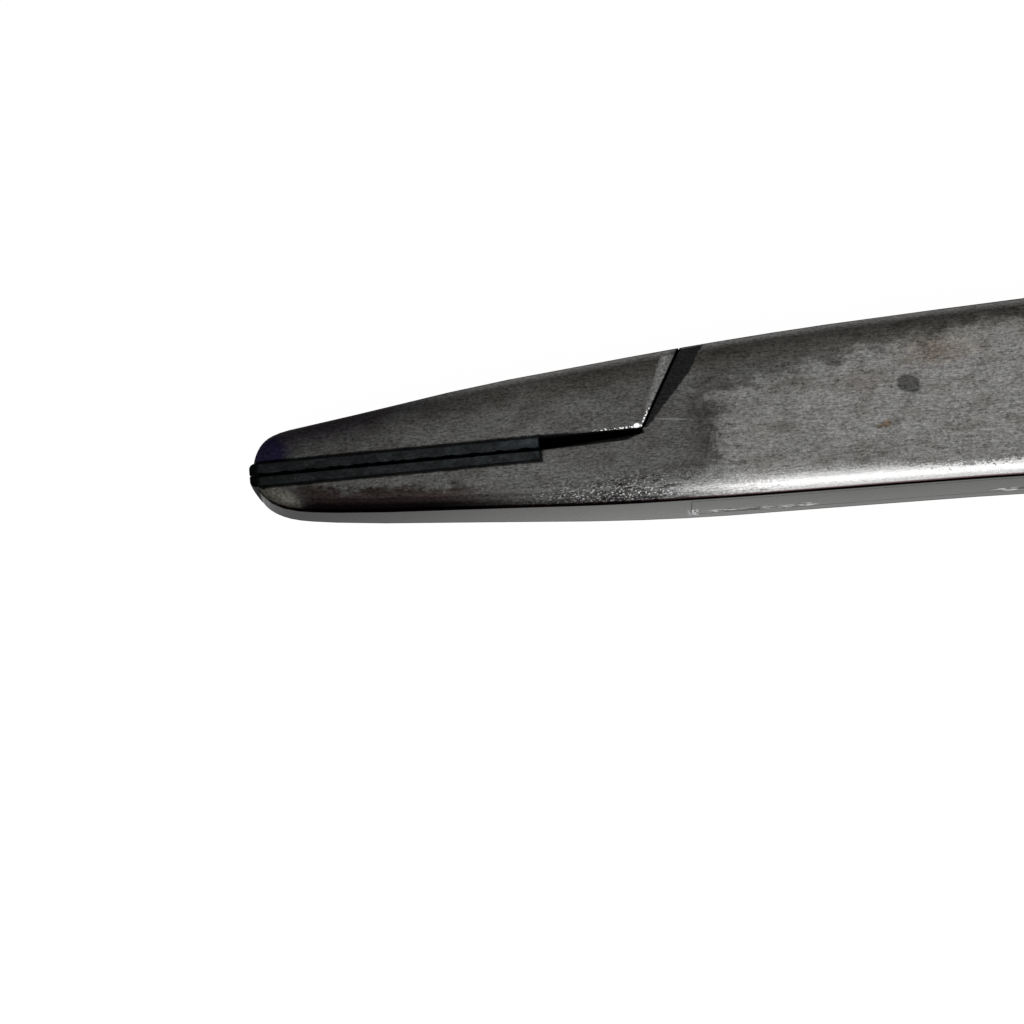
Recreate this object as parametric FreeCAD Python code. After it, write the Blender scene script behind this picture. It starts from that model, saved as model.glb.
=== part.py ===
"""Ring-handled surgical needle holder with a box lock and brazed carbide jaw inserts.

Units are millimetres. The origin is on the pivot axis, at the flat underside of the box lock. +X runs
from the pivot to the finger rings, +Y is the side of the male jaw, and +Z is up, along the pivot axis.
"""
import FreeCAD, Part
import math
import os
from FreeCAD import Vector

# Box lock and jaws
BOX_THICKNESS = 5.4
TIP_THICKNESS = 3.3
BOX_WALL = 1.35
TONGUE_CLEARANCE = 0.06
FACE_SLOPE_START = -10.5
FACE_SLOPE_BLEND = 2.3
EDGE_ROUND = 0.85
SIDE_GRIND = 0.07
TIP_X = -32.84
TIP_Y = -0.3
UPPER_SIDE = [(3.51, 4.61), (-4.86, 4.28), (-13.25, 3.72), (-21.66, 3.03), (-30.0, 2.0)]
UPPER_NOSE = [(-31.2, 1.83), (-32.08, 1.47), (-32.62, 0.78)]
LOWER_NOSE = [(-32.5, -1.36), (-31.45, -2.15)]
LOWER_SIDE = [(-29.9, -2.53), (-22.35, -3.27), (-14.09, -3.95), (-6.73, -4.28), (1.5, -4.48)]
ROOT_X = 14.0
ROOT_HALF_WIDTH = 4.98

# Carbide inserts, set along a seam that leans a little to the instrument's axis
SEAM_X = -25.0
SEAM_Y = -0.6
SEAM_LEAN = 1.1
SEAM_GAP = 0.07
INSERT_THICKNESS = 0.59
INSERT_FRONT = -33.05
INSERT_REAR = -17.85
INSERT_NOSE_RADIUS = 0.3
INSERT_RAKE = 0.4
INSERT_LAND = 0.5
GROOVE_PITCH = 0.85
GROOVE_WIDTH = 0.65
GROOVE_DEPTH = 0.09
INSERT_BEVEL = 0.09
GROOVE_ANGLE = 40.0
GROOVE_REACH = 9.0

# Joint line between the male jaw and the box
SHOULDER_X = -12.46
SHOULDER_LEAN = 29.5
SHOULDER_GAP = 0.07
RELIEF_DEPTH = 0.37
RELIEF_STEP_Y = -0.85
FACET_LEAN = 42.3
FACET_X = -12.14
FACET_TILT = 11.0
FACET_REACH = 4.0
FACET_LENGTH = 9.0
GROUND_LEAN = 21.5
GROUND_X = -12.58
GROUND_TILT = 24.0

# Tongue and rivet
TONGUE_RADIUS = 4.7
TONGUE_WING_RADIUS = 11.05
TONGUE_END_CLEARANCE = 0.14
WING_CLEARANCE = 0.08
PIN_RADIUS = 1.25
PIN_RUNNING_CLEARANCE = 0.04
RIVET_RADIUS = 1.55
RIVET_DEPTH = 0.5

# Shanks
CROTCH_HALF_GAP = 0.2
CROTCH_ROUND = 0.3
SHANK_SLOPE = 3.2
SHANK_SLIM_X = 60.0
SHANK_WIDTH = 4.1
SHANK_THICKNESS = 4.8
SHANK_ROUND = 1.7
SHANK_STEPS = 8

# Finger rings
RING_MEET_X = 111.5
RING_HOLE_LENGTH = 24.0
RING_HOLE_WIDTH = 18.5
RING_BAR = 3.6
RING_THICKNESS = 4.5
RING_ROUND = 1.75
RING_LEAN = 8.0
RING_STATIONS = 28
WEB_THICKNESS = 3.7
WEB_BEVEL = 0.9
WEB_REACH = 16.5
WEB_ANGLE = 197.0
WEB_HOLLOW = 2.2
WEB_OVERLAP = 0.2

# Ratchet
RATCHET_X = 93.0
RATCHET_LENGTH = 5.0
RATCHET_FLARE = 1.2
RATCHET_GAP = 0.4
RATCHET_SPACE = 0.3
RATCHET_BAR = 2.1
RATCHET_CHAMFER = 0.3
TOOTH_COUNT = 3
TOOTH_PITCH = 1.6
TOOTH_DEPTH = 0.7
TOOTH_LEAN = 0.75

# Reach of cutting shapes beyond the body
MARGIN = 8.0
FAR_X = TIP_X - MARGIN

MID_Z = BOX_THICKNESS / 2
SEAM_SLOPE = -math.tan(math.radians(SEAM_LEAN))
INSERT_BACK = SEAM_GAP / 2 + INSERT_THICKNESS


def along(angle):
    """Unit vector in plan, at an angle in degrees from +X."""
    return Vector(math.cos(math.radians(angle)), math.sin(math.radians(angle)), 0)


def seam_y(x, offset=0.0):
    """Place of the seam in plan at a station, or of a line beside it at a square offset."""
    return SEAM_Y + (x - SEAM_X) * SEAM_SLOPE + offset / math.cos(math.radians(SEAM_LEAN))


def prism(points, bottom=-MARGIN, top=BOX_THICKNESS + MARGIN):
    """Upright prism over a polygon drawn in plan."""
    corners = [Vector(x, y, bottom) for x, y in points]
    face = Part.Face(Part.makePolygon(corners + corners[:1]))
    return face.extrude(Vector(0, 0, top - bottom))


def outline_points():
    """Points round the closed jaws and the box lock, from one shank's root by the tips to the other's."""
    points = [(ROOT_X, ROOT_HALF_WIDTH)] + UPPER_SIDE + UPPER_NOSE + [(TIP_X, TIP_Y)]
    return points + LOWER_NOSE + LOWER_SIDE + [(ROOT_X, -ROOT_HALF_WIDTH)]


def spline(points):
    """Smooth edge through points in plan, which leaves and meets the roots in the shanks' directions."""
    curve = Part.BSplineCurve()
    leaving = along(180 + SHANK_SLOPE)
    meeting = along(-SHANK_SLOPE)
    curve.interpolate(Points=points, InitialTangent=leaving, FinalTangent=meeting)
    return curve


def blank_outline(grow):
    """Plan of the closed jaws and the box lock, grown outwards all round."""
    curve = spline([Vector(x, y, 0) for x, y in outline_points()])
    if grow:
        grown = []
        for x, y in outline_points():
            point = Vector(x, y, 0)
            heading = curve.tangent(curve.parameter(point))[0]
            outwards = Vector(heading.y, -heading.x, 0)
            grown.append(point + outwards * grow)
        grown[0].x = ROOT_X
        grown[-1].x = ROOT_X
        curve = spline(grown)
    edge = curve.toShape()
    root = Part.makeLine(curve.EndPoint, curve.StartPoint)
    return Part.Face(Part.Wire([edge, root]))


def face_height(x):
    """Half of the thickness on the sloping jaw faces."""
    slope = (BOX_THICKNESS - TIP_THICKNESS) / 2 / (FACE_SLOPE_START - TIP_X)
    return MID_Z - (FACE_SLOPE_START - x) * slope


def side_profile():
    """Side view of the blank, flat at the box and sloping to the tips, as a solid across the width."""
    front = TIP_X - 1
    blend_in = FACE_SLOPE_START - FACE_SLOPE_BLEND
    blend_out = FACE_SLOPE_START + FACE_SLOPE_BLEND
    edges = []
    for sign in (1, -1):
        tip = Vector(front, -MARGIN, MID_Z + sign * face_height(front))
        slope_end = Vector(blend_in, -MARGIN, MID_Z + sign * face_height(blend_in))
        corner = Vector(FACE_SLOPE_START, -MARGIN, MID_Z + sign * MID_Z)
        flat_start = Vector(blend_out, -MARGIN, MID_Z + sign * MID_Z)
        flat_end = Vector(ROOT_X + 1, -MARGIN, MID_Z + sign * MID_Z)
        blend = Part.BezierCurve()
        blend.setPoles([slope_end, corner, flat_start])
        edges += [Part.makeLine(tip, slope_end), blend.toShape(), Part.makeLine(flat_start, flat_end)]
    edges.append(Part.makeLine(Vector(front, -MARGIN, MID_Z + face_height(front)),
                               Vector(front, -MARGIN, MID_Z - face_height(front))))
    edges.append(Part.makeLine(Vector(ROOT_X + 1, -MARGIN, BOX_THICKNESS), Vector(ROOT_X + 1, -MARGIN, 0)))
    profile = Part.Face(Part.Wire(Part.__sortEdges__(edges)))
    return profile.extrude(Vector(0, 2 * MARGIN, 0))


def upright(face, height, bottom=0.0):
    """Extrusion of a plan face."""
    solid = face.extrude(Vector(0, 0, height))
    solid.translate(Vector(0, 0, bottom))
    return solid


def rim_edges(solid, skip_x):
    """Edges that run along the rims of the upper and lower faces, without those on one cross plane."""
    rims = []
    for edge in solid.Edges:
        box = edge.BoundBox
        upright_edge = box.ZLength > max(box.XLength, box.YLength)
        on_plane = abs(box.XMin - skip_x) < 1e-3 and box.XLength < 1e-3
        across = box.XLength < 1e-3 and box.YLength > 1.0
        if not upright_edge and not on_plane and not across:
            rims.append(edge)
    return rims


def blank():
    """Jaws and box lock ground as one, before they are parted, with rounded rims over flat ground sides."""
    grown = upright(blank_outline(SIDE_GRIND), BOX_THICKNESS).common(side_profile())
    rounded = grown.makeFillet(EDGE_ROUND, rim_edges(grown, ROOT_X))
    return rounded.common(upright(blank_outline(0), BOX_THICKNESS))


def shoulder_point(y, gap=0.0):
    """Point on the leaning shoulder line at a height in plan."""
    lean = math.radians(SHOULDER_LEAN)
    return (SHOULDER_X + (y - seam_y(SHOULDER_X, INSERT_BACK)) * math.tan(lean) + gap / math.cos(lean), y)


def male_front():
    """Plan region of the male jaw, above the seam and before the shoulder."""
    low_y = seam_y(SHOULDER_X, INSERT_BACK)
    return [(FAR_X, seam_y(FAR_X, INSERT_BACK)), shoulder_point(low_y), shoulder_point(MARGIN),
            (FAR_X, MARGIN)]


def female_front_cut():
    """Plan region taken out of the female half before the box: the male jaw, the seam and the relief."""
    relief_y = seam_y(SHOULDER_X, INSERT_BACK - RELIEF_DEPTH)
    return [(FAR_X, seam_y(FAR_X, -INSERT_BACK)), (INSERT_REAR, seam_y(INSERT_REAR, -INSERT_BACK)),
            (INSERT_REAR, RELIEF_STEP_Y), shoulder_point(relief_y, SHOULDER_GAP),
            shoulder_point(MARGIN, SHOULDER_GAP), (FAR_X, MARGIN)]


def rear_shoulder_point(y, gap=0.0):
    """Point on the shoulder behind the box, where the male shank begins."""
    lean = math.radians(SHOULDER_LEAN)
    return (-SHOULDER_X + (y + CROTCH_HALF_GAP) * math.tan(lean) - gap / math.cos(lean), y)


def male_rear():
    """Plan region of the root of the male shank."""
    return [rear_shoulder_point(-CROTCH_HALF_GAP), (ROOT_X, -CROTCH_HALF_GAP), (ROOT_X, -MARGIN),
            rear_shoulder_point(-MARGIN)]


def female_rear_cut():
    """Plan region taken out of the female half behind the box."""
    return [rear_shoulder_point(CROTCH_HALF_GAP, SHOULDER_GAP), (ROOT_X + 1, CROTCH_HALF_GAP),
            (ROOT_X + 1, -MARGIN), rear_shoulder_point(-MARGIN, SHOULDER_GAP)]


def tongue_form(bottom, clearance):
    """The tongue before it is trimmed to the sides: a disc about the pivot, a neck to the jaw, a neck to
    the shank, and a wing that fills the slot up to the side of the lower jaw."""
    top = BOX_THICKNESS - bottom
    disc = Part.makeCylinder(TONGUE_RADIUS + clearance, top - bottom, Vector(0, 0, bottom))
    wing_radius = TONGUE_WING_RADIUS + WING_CLEARANCE * clearance / TONGUE_END_CLEARANCE
    wing = Part.makeCylinder(wing_radius, top - bottom, Vector(0, 0, bottom))
    quarter = [(0, 0), (-MARGIN * 2, 0), (-MARGIN * 2, -MARGIN * 2), (0, -MARGIN * 2)]
    lower = INSERT_BACK - clearance * RELIEF_DEPTH / TONGUE_END_CLEARANCE
    front_x = SHOULDER_X - 1
    front = [(0, seam_y(0, lower)), (front_x, seam_y(front_x, lower)), (front_x, MARGIN), (0, MARGIN)]
    upper = CROTCH_HALF_GAP * (2 * clearance / TONGUE_END_CLEARANCE - 1)
    rear_x = -SHOULDER_X + 1
    rear = [(0, upper - seam_y(0)), (rear_x, upper), (rear_x, -MARGIN), (0, -MARGIN)]
    return disc.fuse([wing.common(prism(quarter)), prism(front, bottom, top), prism(rear, bottom, top)])


def slot():
    """Space in the box lock for the tongue and its swing."""
    return tongue_form(BOX_WALL, TONGUE_END_CLEARANCE)


def tongue(body):
    """Thin middle of the male half, which passes through the box lock."""
    plan = tongue_form(BOX_WALL + TONGUE_CLEARANCE, 0.0)
    reach = [(SHOULDER_X - 0.5, MARGIN), (-SHOULDER_X + 0.5, MARGIN),
             (-SHOULDER_X + 0.5, -MARGIN), (SHOULDER_X - 0.5, -MARGIN)]
    return body.common(plan).common(prism(reach))


def ground_facet(x, lean, tilt, towards, sign):
    """Shallow wedge over a slanted line on one face of the instrument, which grinds a flat facet.

    The line crosses the insert's back line at x and leans from +Y; the facet drops towards the joint."""
    direction = along(90 - lean)
    across = along(180 - lean) * towards
    start = Vector(x, seam_y(x, INSERT_BACK), 0) - direction
    drop = FACET_REACH * math.tan(math.radians(tilt))
    face_z = MID_Z + sign * MID_Z
    end = start + across * FACET_REACH
    corners = [start + Vector(0, 0, face_z), end + Vector(0, 0, face_z - sign * drop),
               end + Vector(0, 0, face_z + sign), start + Vector(0, 0, face_z + sign)]
    face = Part.Face(Part.makePolygon(corners + corners[:1]))
    return face.extrude(direction * FACET_LENGTH)


def box_facets():
    """Facets on the box walls beside the joint line, before the box and, half a turn on, behind it."""
    wedges = [ground_facet(FACET_X, FACET_LEAN, FACET_TILT, 1, sign) for sign in (1, -1)]
    turned = [wedge.copy() for wedge in wedges]
    for wedge in turned:
        wedge.rotate(Vector(0, 0, 0), Vector(0, 0, 1), 180)
    return wedges + turned


def jaw_facets():
    """Facets on the male jaw's shoulder."""
    return [ground_facet(GROUND_X, GROUND_LEAN, GROUND_TILT, -1, sign) for sign in (1, -1)]


def section(centre, across, width, thickness, inner_round, outer_round):
    """Rounded rectangle across a bar, with its own corner radius for the inner and the outer side."""
    corners = [(-1, -1, inner_round), (1, -1, outer_round), (1, 1, outer_round), (-1, 1, inner_round)]
    arcs = []
    for side, level, radius in corners:
        middle = math.degrees(math.atan2(level, side))
        bend = centre + across * side * (width / 2 - radius)
        bend.z += level * (thickness / 2 - radius)
        spots = []
        for angle in (middle - 45, middle, middle + 45):
            direction = along(angle) * radius
            spots.append(bend + across * direction.x + Vector(0, 0, direction.y))
        arcs.append(spots)
    edges = []
    for index, spots in enumerate(arcs):
        following = arcs[(index + 1) % len(arcs)]
        edges.append(Part.Arc(*spots).toShape())
        edges.append(Part.makeLine(spots[2], following[0]))
    return Part.Wire(edges)


def shank_centre(x):
    """Place in plan of the female shank's centre line."""
    start = (ROOT_HALF_WIDTH + CROTCH_HALF_GAP) / 2
    return start + (x - ROOT_X) * math.tan(math.radians(SHANK_SLOPE))


def shank_sizes(x):
    """Width, thickness, inner and outer corner radius of the shank at a station."""
    root = (ROOT_HALF_WIDTH - CROTCH_HALF_GAP, BOX_THICKNESS, CROTCH_ROUND, EDGE_ROUND)
    slim = (SHANK_WIDTH, SHANK_THICKNESS, SHANK_ROUND, SHANK_ROUND)
    end = (RING_BAR, RING_THICKNESS, RING_ROUND, RING_ROUND)
    if x < SHANK_SLIM_X:
        share = (x - ROOT_X) / (SHANK_SLIM_X - ROOT_X)
        share = share * share * (3 - 2 * share)
        first, last = root, slim
    else:
        share = (x - SHANK_SLIM_X) / (RING_MEET_X - SHANK_SLIM_X)
        first, last = slim, end
    return [a + (b - a) * share for a, b in zip(first, last)]


def shank():
    """Tapering bar from the box lock to the ring, flat sided at its root and rounder along its length."""
    sections = []
    for step in range(SHANK_STEPS + 1):
        x = ROOT_X + (RING_MEET_X - ROOT_X) * step / SHANK_STEPS
        centre = Vector(x, shank_centre(x), MID_Z)
        sections.append(section(centre, Vector(0, 1, 0), *shank_sizes(x)))
    return Part.makeLoft(sections, True, True)


def ring_line(angle, grow=0.0):
    """Point on the ring's middle line at an angle from its long axis, and the way outwards from there.

    The oval touches the shank's centre line at RING_MEET_X, so that the shank runs on into the ring."""
    length = (RING_HOLE_LENGTH + RING_BAR) / 2
    width = (RING_HOLE_WIDTH + RING_BAR) / 2
    long_axis = along(RING_LEAN)
    short_axis = along(RING_LEAN + 90)
    heading = math.radians(SHANK_SLOPE - RING_LEAN)
    touch = math.atan2(-width * math.cos(heading), length * math.sin(heading))
    meet = Vector(RING_MEET_X, shank_centre(RING_MEET_X), MID_Z)
    centre = meet - long_axis * length * math.cos(touch) - short_axis * width * math.sin(touch)
    turn = math.radians(angle)
    outwards = (long_axis * width * math.cos(turn) + short_axis * length * math.sin(turn)).normalize()
    point = centre + long_axis * length * math.cos(turn) + short_axis * width * math.sin(turn)
    return point + outwards * grow, outwards


def ring():
    """Oval finger ring, a closed loft of the bar's section."""
    sections = []
    for index in range(RING_STATIONS):
        point, outwards = ring_line(360 * index / RING_STATIONS)
        sections.append(section(point, outwards, RING_BAR, RING_THICKNESS, RING_ROUND, RING_ROUND))
    return Part.makeLoft(sections, True, True, True)


def ring_web():
    """Hollowed filling in the corner between the shank and the ring."""
    low_x = RING_MEET_X - WEB_REACH
    outer = RING_BAR / 2 - WEB_OVERLAP
    shank_side = Vector(low_x, shank_centre(low_x) + outer, MID_Z)
    ring_side, outwards = ring_line(WEB_ANGLE, outer)
    ring_inside = ring_side - outwards * outer
    meet = Vector(RING_MEET_X, shank_centre(RING_MEET_X), MID_Z)
    shank_inside = Vector(low_x, shank_centre(low_x), MID_Z)
    chord = ring_side - shank_side
    square = Vector(chord.y, -chord.x, 0).normalize()
    hollow = (shank_side + ring_side) / 2 + square * WEB_HOLLOW
    edges = [Part.Arc(shank_side, hollow, ring_side).toShape()]
    for start, end in ((ring_side, ring_inside), (ring_inside, meet), (meet, shank_inside),
                       (shank_inside, shank_side)):
        edges.append(Part.makeLine(start, end))
    web = Part.Face(Part.Wire(edges)).extrude(Vector(0, 0, WEB_THICKNESS))
    web.translate(Vector(0, 0, -WEB_THICKNESS / 2))
    rims = [edge for edge in web.Edges if edge.Curve.TypeId == "Part::GeomCircle"]
    return web.makeChamfer(WEB_BEVEL, rims)


def ratchet_plan():
    """Plan of a ratchet bar, flared at its root."""
    root_y = shank_centre(RATCHET_X)
    half = RATCHET_LENGTH / 2
    wide = half + RATCHET_FLARE
    neck_y = root_y - shank_sizes(RATCHET_X)[0] / 2 - RATCHET_FLARE
    flare_y = neck_y + RATCHET_FLARE
    bend = RATCHET_FLARE * (1 - math.sqrt(0.5))
    edges = [Part.makeLine(Vector(-half, 0, 0), Vector(half, 0, 0)),
             Part.makeLine(Vector(wide, root_y, 0), Vector(-wide, root_y, 0))]
    for side in (1, -1):
        edges.append(Part.makeLine(Vector(side * half, 0, 0), Vector(side * half, neck_y, 0)))
        middle = Vector(side * (half + bend), flare_y - bend, 0)
        flare = Part.Arc(Vector(side * half, neck_y, 0), middle, Vector(side * wide, flare_y, 0))
        edges.append(flare.toShape())
        edges.append(Part.makeLine(Vector(side * wide, flare_y, 0), Vector(side * wide, root_y, 0)))
    face = Part.Face(Part.Wire(Part.__sortEdges__(edges)))
    face.translate(Vector(RATCHET_X, 0, 0))
    return face


def ratchet():
    """Bar across to the other shank, in the lower half of the thickness, with saw teeth on top."""
    tip_y = RATCHET_GAP / 2
    root_y = shank_centre(RATCHET_X)
    half = RATCHET_LENGTH / 2 + RATCHET_FLARE
    face_z = MID_Z - RATCHET_SPACE / 2
    back_z = face_z - RATCHET_BAR
    valley = face_z - TOOTH_DEPTH
    outline = [(root_y, back_z), (tip_y + RATCHET_CHAMFER, back_z), (tip_y, back_z + RATCHET_CHAMFER),
               (tip_y, valley)]
    for index in range(TOOTH_COUNT):
        start = tip_y + index * TOOTH_PITCH
        outline.append((start + TOOTH_PITCH * TOOTH_LEAN, face_z))
        outline.append((start + TOOTH_PITCH, valley))
    outline += [(tip_y + (TOOTH_COUNT + TOOTH_LEAN) * TOOTH_PITCH, face_z), (root_y, face_z)]
    points = [Vector(RATCHET_X - half, y, z) for y, z in outline]
    bar = Part.Face(Part.makePolygon(points + points[:1])).extrude(Vector(2 * half, 0, 0))
    return bar.common(upright(ratchet_plan(), BOX_THICKNESS))


def handle():
    """Shank, ratchet bar and finger ring on the female side, behind the root."""
    return shank().fuse([ring(), ring_web(), ratchet()])


def rivet():
    """Rivet with a countersunk end in each wall, ground flush with both faces."""
    shaft = Part.makeCylinder(PIN_RADIUS, BOX_THICKNESS)
    foot = Part.makeCone(RIVET_RADIUS, PIN_RADIUS, RIVET_DEPTH)
    head_start = Vector(0, 0, BOX_THICKNESS - RIVET_DEPTH)
    head = Part.makeCone(PIN_RADIUS, RIVET_RADIUS, RIVET_DEPTH, head_start)
    return shaft.fuse([foot, head]).removeSplitter()


def female_half(body):
    """Lower jaw, box lock, shank and ring."""
    half = body.cut([prism(female_front_cut()), prism(female_rear_cut()), slot()])
    half = half.cut(box_facets())
    half = half.cut(rivet())
    return half.fuse(handle()).removeSplitter()


def male_half(body):
    """Upper jaw, tongue, shank and ring."""
    jaw = body.common(prism(male_front())).cut(jaw_facets())
    root = body.common(prism(male_rear()))
    bar = handle()
    bar.rotate(Vector(0, 0, MID_Z), Vector(1, 0, 0), 180)
    half = jaw.fuse([tongue(body), root, bar])
    bore = Part.makeCylinder(PIN_RADIUS + PIN_RUNNING_CLEARANCE, BOX_THICKNESS + 2, Vector(0, 0, -1))
    return half.cut(bore).removeSplitter()


def insert_profile():
    """Side view of the inserts, flush with the sloping jaw faces, with the front end raked back."""
    front = INSERT_FRONT
    rear = INSERT_REAR + 1
    rake = [(front, 1), (rear, 1), (rear, -1), (front + INSERT_RAKE, -1)]
    points = [Vector(x, -MARGIN, MID_Z + sign * face_height(x)) for x, sign in rake]
    return Part.Face(Part.makePolygon(points + points[:1])).extrude(Vector(0, 2 * MARGIN, 0))


def groove(x, angle, side):
    """Cutter for one V groove over the gripping face, leaning at an angle from the insert's length."""
    direction = Vector(math.cos(math.radians(angle)), 0, math.sin(math.radians(angle)))
    across = Vector(-direction.z, 0, direction.x) * (GROOVE_WIDTH / 2)
    face_y = side * SEAM_GAP / 2
    middle = Vector(x, face_y, MID_Z)
    start = middle - direction * (GROOVE_REACH / 2)
    corners = [start + across, start + Vector(0, side * GROOVE_DEPTH, 0), start - across]
    return Part.Face(Part.makePolygon(corners + corners[:1])).extrude(direction * GROOVE_REACH)


def insert(side):
    """Carbide plate brazed along one jaw, bevelled and cross-cut on its gripping face."""
    length = INSERT_REAR - INSERT_FRONT
    low, high = sorted((side * SEAM_GAP / 2, side * INSERT_BACK))
    front = INSERT_FRONT - SEAM_X
    place = FreeCAD.Placement(Vector(SEAM_X, SEAM_Y, 0), FreeCAD.Rotation(Vector(0, 0, 1), -SEAM_LEAN))
    plate = Part.makeBox(length, high - low, BOX_THICKNESS, Vector(front, low, 0))
    nose = []
    for edge in plate.Edges:
        box = edge.BoundBox
        if box.XMax < front + 1e-3 and box.YLength < 1e-3 and abs(box.YMin - side * INSERT_BACK) < 1e-3:
            nose.append(edge)
    plate = plate.makeFillet(INSERT_NOSE_RADIUS, nose)
    plate.Placement = place
    plate = plate.common(insert_profile())
    rims = []
    for edge in plate.Edges:
        spot = place.inverse().multVec(edge.CenterOfMass)
        if edge.Length > length / 2 and abs(spot.y - side * SEAM_GAP / 2) < 1e-3:
            rims.append(edge)
    plate = plate.makeChamfer(INSERT_BEVEL, rims)
    spacing = GROOVE_PITCH / math.sin(math.radians(GROOVE_ANGLE))
    margin = GROOVE_REACH / 2 * math.cos(math.radians(GROOVE_ANGLE))
    count = int((length + 2 * margin) / spacing)
    grooved = Part.makeBox(length, 2 * MARGIN, 2 * MARGIN, Vector(front + INSERT_LAND, -MARGIN, -MARGIN))
    for angle in (GROOVE_ANGLE, -GROOVE_ANGLE):
        cutters = []
        for index in range(count):
            cutter = groove(front - margin + (index + 0.5) * spacing, angle, side).common(grooved)
            if cutter.Solids:
                cutter.Placement = place
                cutters.append(cutter)
        plate = plate.cut(cutters)
    return plate


def save(shape, name):
    """Writes one piece, and reports its size."""
    solids = shape.Solids
    print(name, "solids", len(solids), "valid", shape.isValid(), "volume %.1f" % shape.Volume,
          "faces", len(shape.Faces))
    shape.exportStep(os.path.join("parts", name + ".step"))


def main():
    os.makedirs("parts", exist_ok=True)
    body = blank()
    save(female_half(body), "female_half")
    save(male_half(body), "male_half")
    save(insert(1), "male_insert")
    save(insert(-1), "female_insert")
    save(rivet(), "pivot_pin")


main()
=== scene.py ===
import math
import bpy
from mathutils import Matrix, Vector


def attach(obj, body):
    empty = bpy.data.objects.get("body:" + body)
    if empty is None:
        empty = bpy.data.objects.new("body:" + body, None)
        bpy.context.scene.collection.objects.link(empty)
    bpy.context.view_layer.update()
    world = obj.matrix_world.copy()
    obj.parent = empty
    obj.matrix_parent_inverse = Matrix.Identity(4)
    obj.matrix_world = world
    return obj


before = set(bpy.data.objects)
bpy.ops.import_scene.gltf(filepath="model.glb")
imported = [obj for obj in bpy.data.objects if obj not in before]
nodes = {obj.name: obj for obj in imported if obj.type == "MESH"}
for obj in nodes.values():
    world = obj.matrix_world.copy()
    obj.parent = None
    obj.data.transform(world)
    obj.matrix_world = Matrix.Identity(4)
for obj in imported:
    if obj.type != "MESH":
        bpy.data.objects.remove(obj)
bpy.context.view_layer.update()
MM = 0.001

# The photograph's view: scale, roll and elevation, and the image point of the pivot's upper end
PX_PER_MM = 19.3
ROLL = math.radians(5.8)
ELEVATION = math.radians(76)
PIVOT_PX = (881, 398)
IMAGE = 1024
LENS = 200.0
SENSOR = 36.0

# Sizes of the part that the materials follow, in mm
TOP = 5.4
MID = TOP / 2
WALL = 1.35
SLOPE_START = -10.5
SLOPE = 0.047
CREASE_DEPTH = 0.51
SEAM_X, SEAM_Y, SEAM_LEAN = -25.0, -0.6, math.radians(1.1)
INSERT_BACK = 0.63
UPPER_JAW = (INSERT_BACK - 0.1, INSERT_BACK)
INSERT_REAR = -17.85
RIVET_RADIUS = 1.55
WING_RADIUS = 11.05
SHOULDER_X, SHOULDER_LEAN = -12.46, math.radians(29.5)
BOX_FACET_X, BOX_FACET_LEAN = -12.14, math.radians(42.3)
JAW_FACET_X, JAW_FACET_LEAN = -12.58, math.radians(21.5)
# The outline's edges in plan: distance from the x axis at the pivot, its slope and its bend
UPPER_EDGE = (4.5, 0.0405, -0.00146)
LOWER_EDGE = (4.48, 0.015, -0.00166)

# Marks in the photograph, in its pixels: centre across and down, width and height
BLUE_TIP = (266, 448, 38, 46)
PURPLE_BAND = (322, 423, 150, 19)
PALE_TIP_HIGHLIGHT = (276, 490, 44, 14)
GREY_DOT = (910, 383, 24, 18)
DOT_CLOUD = (868, 379, 52, 24)
BROWN_SPOT = (888, 423, 9, 6)
BROWN_SPECK = (881, 426, 6, 4)
TAN_CLOUD = (938, 350, 70, 24)
DARK_CLOUD = (707, 415, 34, 84)
LEFT_STREAK = (709, 440, 2.6, 40)
RIGHT_STREAK = (716, 444, 2.2, 44)
SCRATCH = (673, 418.5, 32, 2.0)
CORNER_GLINT = (637, 425, 6, 5)
SHIFT_PER_PX = 0.37

# Which way a face looks, by the upright part of its normal. Here and below, a span holds where a change
# begins and ends and, where it isn't from nought to one, the values before and after it
FLAT_FACE = (0.93, 0.985)
SIDE_FACE = (0.4, 0.2)
FLAT_OR_BEND = (0.5, 0.7)
TOP_FACE = (0.0, 0.5)
OVER_FACE = (0.1, 0.3)
LOWER_HALF = (0.2, -0.2)

# Behind the box the marks fade out and a plain steel fades in, along x
ROOT_X = 14.0
MARKS_FADE = (ROOT_X, ROOT_X - 5)
PLAIN_STEEL = (ROOT_X - 5, ROOT_X + 8)
PLAIN_LEVEL = 0.23
PLAIN_SPREAD = (0.3, 0.7, 0.88, 1.12)

# Tints of levels of grey
FACE_TINT = (1.0, 0.99, 0.965)
SIDE_TINT = (1.0, 1.0, 0.975)
EDGE_TINT = (1.0, 0.975, 0.95)
HIGHLIGHT_TINT = (1.0, 0.99, 0.985)
PLAIN_TINT = (1.0, 0.99, 0.97)
JAW_FACET_HIGHLIGHT_TINT = (1.0, 1.0, 0.98)
BOX_FACET_SHADE_TINT = (1.0, 1.02, 1.07)
BLUE_TINT = (0.9, 0.75, 1.9)
PALE_HIGHLIGHT_TINT = (1.0, 0.98, 0.8)
CARBIDE_TINT = (0.92, 1.03, 1.07)

# Tones, by which stains and painted shade darken what lies under them
BROWN_TONE = (1.0, 0.965, 0.9)
CLOUD_TONE = (0.86, 0.835, 0.81)
BAND_STAIN_AND_SHADE_TONE = (0.31, 0.245, 0.235)
PURPLE_TONE = (0.62, 0.54, 0.64)
SHADOW_TONE = (0.5, 0.49, 0.46)
CREVICE_TONE = (0.36, 0.34, 0.32)
CREASE_SHADE_TONE = (0.22, 0.14, 0.16)
RECESS_SHADE_TONE = 0.04

BUMP_DEPTH = 0.00003

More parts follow.
